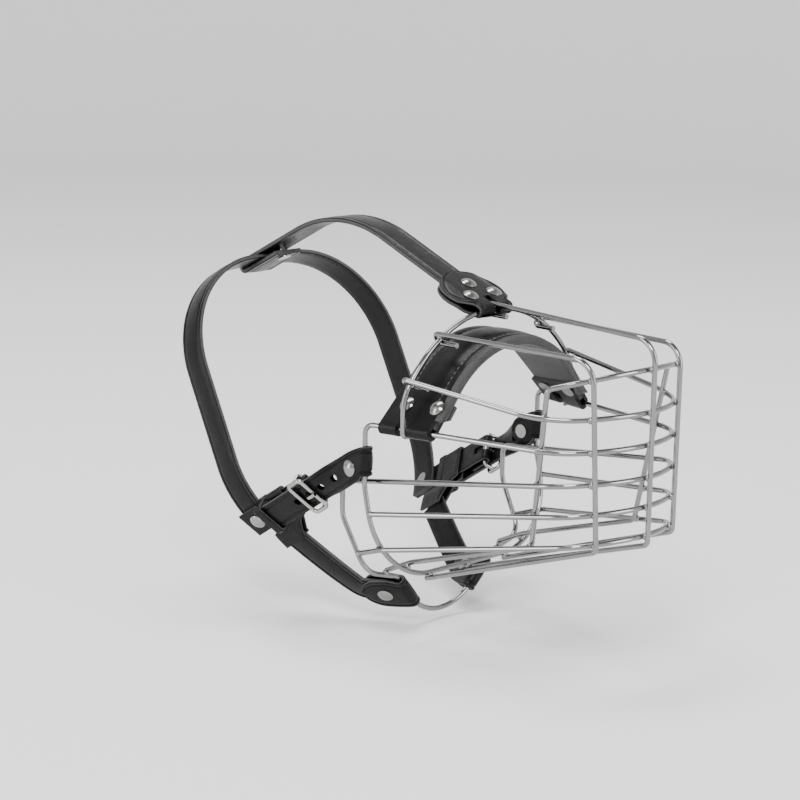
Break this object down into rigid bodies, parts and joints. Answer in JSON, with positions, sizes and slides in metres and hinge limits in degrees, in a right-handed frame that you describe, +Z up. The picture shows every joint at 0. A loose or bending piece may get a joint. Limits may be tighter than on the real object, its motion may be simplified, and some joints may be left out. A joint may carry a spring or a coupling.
{
  "type": "dog muzzle",
  "caption": "Basket muzzle for a large dog: a welded wire cage with a padded nose rest, held on by riveted leather straps with buckles.",
  "frame": {"origin": "underside of the nose pad, midway along it on the centre plane, where the muzzle rests on the nose bridge", "axes": "+Z up, the closed nose end of the basket faces -Y and the neck strap +Y, +X is the dog's left"},
  "size_m": [0.1612, 0.2975, 0.207],
  "materials": {
    "chromed_wire": "polished chrome",
    "buckle_nickel": "polished nickel",
    "rivet_nickel": "nickel plated, lightly scratched",
    "black_leather": "smooth black leather with raw grey edges",
    "lining_felt": "dense black felt"
  },
  "bodies": {
    "muzzle": {"bottom_side_wire": "chromed_wire", "centre_long_wire": "chromed_wire", "cheek_frame_wire": "chromed_wire", "forehead_loop_rivet": "rivet_nickel", "forehead_strap": "black_leather", "inner_front_wire": "chromed_wire", "left_back_strap": "black_leather", "left_buckle_frame": "buckle_nickel", "left_cheek_rivet": "rivet_nickel", "left_cheek_strap": "black_leather", "left_long_wire": "chromed_wire", "left_neck_rivet": "rivet_nickel", "left_pad_rivets": "rivet_nickel", "left_throat_loop": "black_leather", "left_throat_rivet": "rivet_nickel", "left_throat_strap": "black_leather", "left_throat_tab": "black_leather", "lower_side_wire": "chromed_wire", "neck_strap": "black_leather", "nose_pad_cover": "black_leather", "nose_pad_lining": "lining_felt", "right_back_strap": "black_leather", "right_buckle_frame": "buckle_nickel", "right_cheek_rivet": "rivet_nickel", "right_cheek_strap": "black_leather", "right_long_wire": "chromed_wire", "right_neck_rivet": "rivet_nickel", "right_pad_rivets": "rivet_nickel", "right_throat_loop": "black_leather", "right_throat_rivet": "rivet_nickel", "right_throat_strap": "black_leather", "right_throat_tab": "black_leather", "rim_arch": "chromed_wire", "throat_frame_wire": "chromed_wire", "top_tab": "black_leather", "top_tab_rivets": "rivet_nickel", "upper_side_wire": "chromed_wire", "weld_beads": "chromed_wire"},
    "left_prong": {"left_buckle_prong": "buckle_nickel"},
    "right_prong": {"right_buckle_prong": "buckle_nickel"},
    "left_keeper_body": {"left_keeper": "black_leather"},
    "right_keeper_body": {"right_keeper": "black_leather"}
  },
  "joints": [
    {"name": "left_prong_hinge", "type": "hinge", "parent": "muzzle", "child": "left_prong", "pos_m": [0.06733, 0.06515, -0.08015], "axis": [0.6018, 0.435, 0.6698], "range_deg": [0, 9]},
    {"name": "right_prong_hinge", "type": "hinge", "parent": "muzzle", "child": "right_prong", "pos_m": [-0.06733, 0.06515, -0.08015], "axis": [0.6018, -0.435, -0.6698], "range_deg": [0, 9]},
    {"name": "left_keeper_slide", "type": "slide", "parent": "muzzle", "child": "left_keeper_body", "axis": [0, 0.8387, -0.5446], "range_m": [0, 0.004]},
    {"name": "right_keeper_slide", "type": "slide", "parent": "muzzle", "child": "right_keeper_body", "axis": [0, 0.8387, -0.5446], "range_m": [0, 0.004]}
  ]
}
